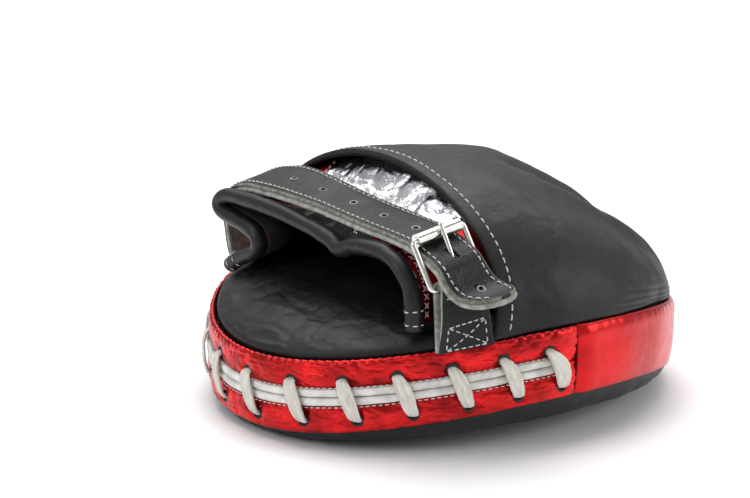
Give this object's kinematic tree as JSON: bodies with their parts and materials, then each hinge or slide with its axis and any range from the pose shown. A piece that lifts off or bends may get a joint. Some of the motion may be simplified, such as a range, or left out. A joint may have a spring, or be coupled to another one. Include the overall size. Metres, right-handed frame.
{
  "type": "focus mitt",
  "caption": "Curved leather punch mitt with a laced rim, padded striking face, finger hood, wrist cuff and buckled strap.",
  "frame": {"origin": "middle of the mitt's footprint, on the surface it lies on", "axes": "+X from the wrist to the fingers, -Y towards the buckle side, +Z out of the back of the hand"},
  "size_m": [0.2444, 0.2075, 0.1215],
  "materials": {
    "black_leather": "matt smooth-grain black leather",
    "foam": "closed foam padding",
    "fibre_board": "stiff felt board",
    "red_foil_leather": "crinkled metallic red foil on leather",
    "white_leather": "white leather piping",
    "white_lace": "flat cream rawhide lace",
    "lining_cloth": "black woven nylon lining",
    "silver_foil_leather": "crumpled silver foil on leather",
    "binding_leather": "soft rolled black leather",
    "strap_leather": "grained black leather",
    "split_leather": "raw grey leather split",
    "nickel": "polished nickel plate"
  },
  "bodies": {
    "pad": {"face_panel": "black_leather", "strike_foam": "foam", "core_foam": "foam", "backing_board": "fibre_board", "palm_foam": "foam", "palm_panel": "black_leather", "rim_band_finger": "red_foil_leather", "rim_band_upper": "red_foil_leather", "rim_band_lower": "red_foil_leather", "welt_upper": "white_leather", "welt_lower": "white_leather", "lace": "white_lace", "finger_hood": "black_leather", "hood_hem": "black_leather", "hood_lining": "lining_cloth", "cuff_silver_panel": "silver_foil_leather", "cuff_side_near": "red_foil_leather", "cuff_side_far": "red_foil_leather", "cuff_lining": "lining_cloth", "cuff_binding": "binding_leather", "strap": "strap_leather", "strap_backing": "split_leather", "buckle_tab": "strap_leather"},
    "buckle_frame": {"buckle_frame": "nickel"},
    "buckle_roller": {"buckle_roller": "nickel"},
    "buckle_prong": {"buckle_prong": "nickel"},
    "strap_tail": {"strap_tail": "strap_leather", "strap_tail_backing": "split_leather"}
  },
  "joints": [
    {"name": "buckle_tilt", "type": "hinge", "parent": "pad", "child": "buckle_frame", "pos_m": [-0.0615, -0.08, 0.0795], "axis": [0.9848, 0, 0.1736], "range_deg": [0, 5]},
    {"name": "roller_spin", "type": "hinge", "parent": "buckle_frame", "child": "buckle_roller", "pos_m": [-0.06511, -0.06998, 0.1], "axis": [0.9848, 0, 0.1736], "continuous": true},
    {"name": "prong_lift", "type": "hinge", "parent": "buckle_frame", "child": "buckle_prong", "pos_m": [-0.0615, -0.08, 0.0795], "axis": [0.9848, 0, 0.1736], "range_deg": [0, 5]},
    {"name": "tail_lift", "type": "hinge", "parent": "pad", "child": "strap_tail", "pos_m": [-0.06233, -0.08791, 0.08421], "axis": [-0.9848, 0, -0.1736], "range_deg": [0, 70]}
  ]
}
